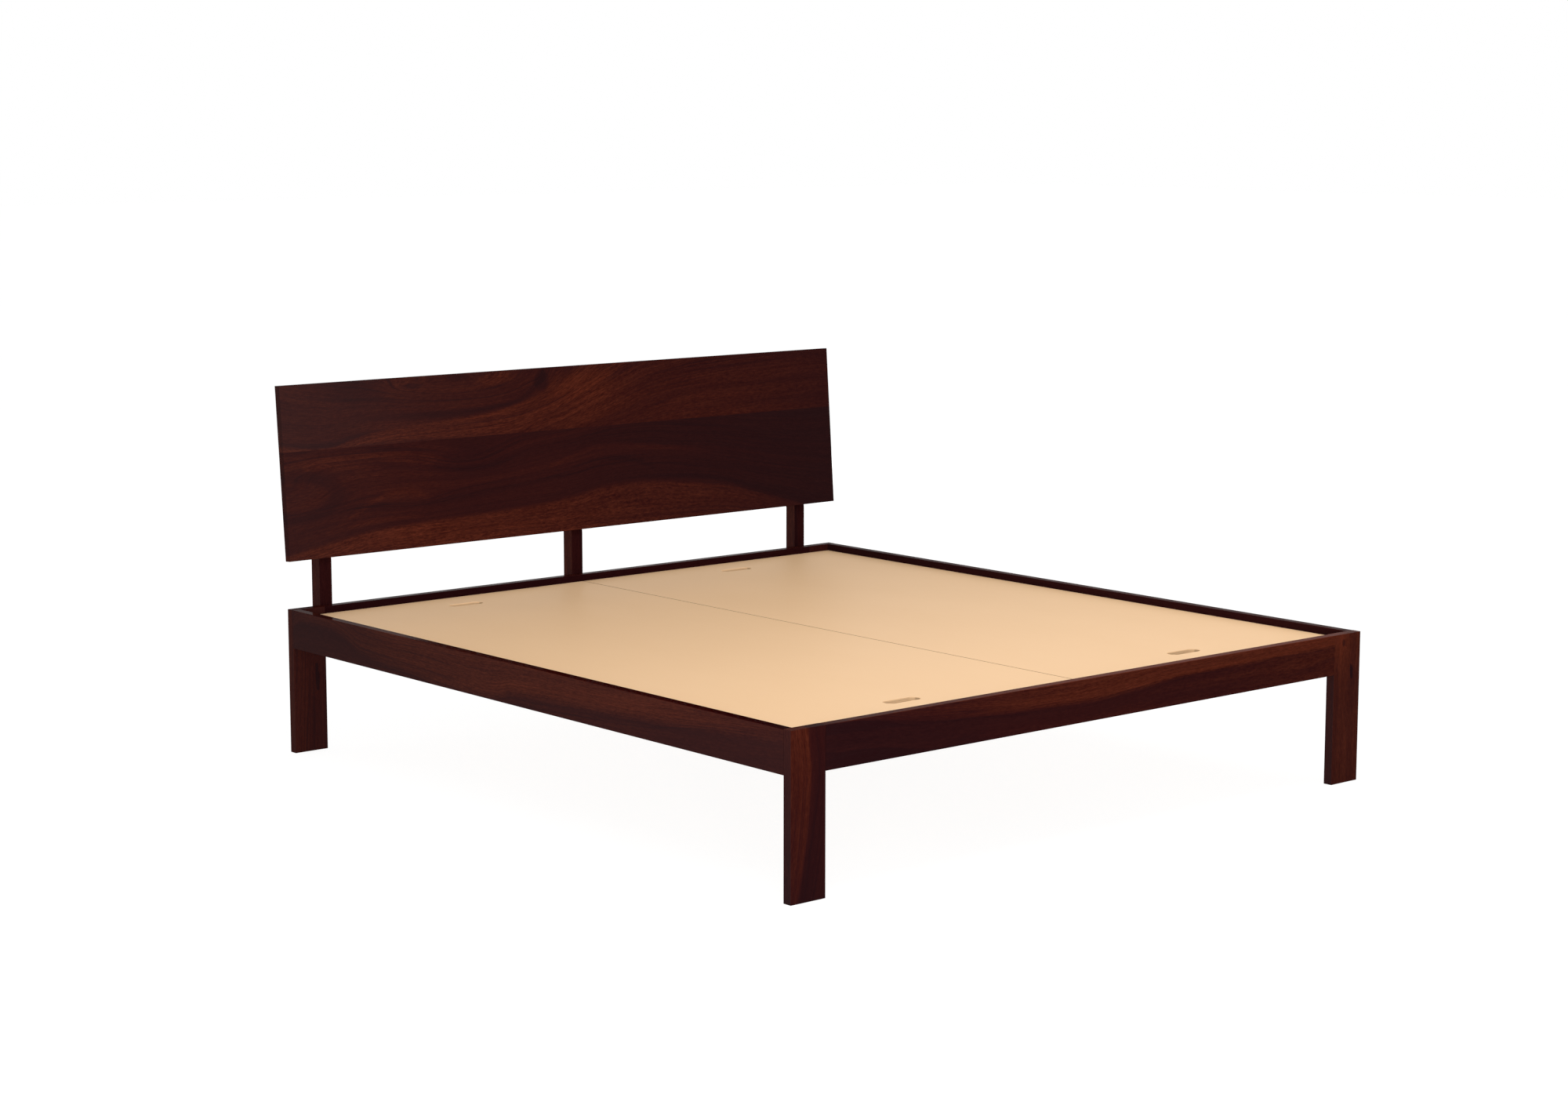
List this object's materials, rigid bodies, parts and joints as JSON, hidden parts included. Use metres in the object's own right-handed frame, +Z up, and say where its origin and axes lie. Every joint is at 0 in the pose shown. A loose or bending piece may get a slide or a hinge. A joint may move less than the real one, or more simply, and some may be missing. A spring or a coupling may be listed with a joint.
{
  "type": "bed frame",
  "caption": "Low platform bed frame with plank legs, deep rails, lift-out platform boards and a leaning board headboard on short posts.",
  "frame": {"origin": "on the floor, at the middle of the frame's footprint, with the leaning posts counted in", "axes": "+X across the bed to the right seen from the foot, +Y from the foot to the head, +Z up"},
  "size_m": [1.908, 2.1193, 0.9765],
  "materials": {
    "leg_timber": "dark red-brown stain under a satin lacquer",
    "rail_timber": "dark red-brown stain under a satin lacquer",
    "headboard_timber": "dark red-brown stain under a satin lacquer",
    "post_timber": "dark red-brown stain under a satin lacquer",
    "platform_board": "smooth matt sanded board",
    "support_timber": "planed and unfinished",
    "zinc_steel": "zinc plated",
    "black_steel": "black oxide"
  },
  "bodies": {
    "frame": {"leg_foot_left": "leg_timber", "leg_foot_right": "leg_timber", "leg_head_left": "leg_timber", "leg_head_right": "leg_timber", "foot_rail": "rail_timber", "head_rail": "rail_timber", "side_rail_left": "rail_timber", "side_rail_right": "rail_timber", "side_cleat_left": "support_timber", "side_cleat_right": "support_timber", "foot_cleat_left": "support_timber", "foot_cleat_right": "support_timber", "head_cleat_left": "support_timber", "head_cleat_right": "support_timber", "centre_beam": "support_timber", "centre_leg": "support_timber", "cross_batten_foot": "support_timber", "cross_batten_middle": "support_timber", "cross_batten_head": "support_timber", "beam_hanger_foot": "zinc_steel", "beam_hanger_head": "zinc_steel", "headboard_lower_board": "headboard_timber", "headboard_upper_board": "headboard_timber", "headboard_post_left": "post_timber", "headboard_post_middle": "post_timber", "headboard_post_right": "post_timber", "hook_plate_foot_left": "zinc_steel", "hook_plate_foot_right": "zinc_steel", "hook_plate_head_left": "zinc_steel", "hook_plate_head_right": "zinc_steel", "catch_plate_foot_left": "zinc_steel", "catch_plate_foot_right": "zinc_steel", "catch_plate_head_left": "zinc_steel", "catch_plate_head_right": "zinc_steel", "hook_plate_screws": "zinc_steel", "catch_plate_screws": "zinc_steel", "cleat_screws": "zinc_steel", "batten_screws": "zinc_steel", "hanger_screws": "zinc_steel", "headboard_screws": "black_steel", "post_bolts": "black_steel", "post_washers": "black_steel", "post_inserts": "zinc_steel", "centre_leg_bolts": "zinc_steel", "centre_leg_nuts": "zinc_steel"},
    "board_left": {"platform_board_left": "platform_board"},
    "board_right": {"platform_board_right": "platform_board"}
  },
  "joints": [
    {"name": "board_left_lift", "type": "slide", "parent": "frame", "child": "board_left", "axis": [0, 0, 1], "range_m": [0, 0.3]},
    {"name": "board_right_lift", "type": "slide", "parent": "frame", "child": "board_right", "axis": [0, 0, 1], "range_m": [0, 0.3]}
  ]
}
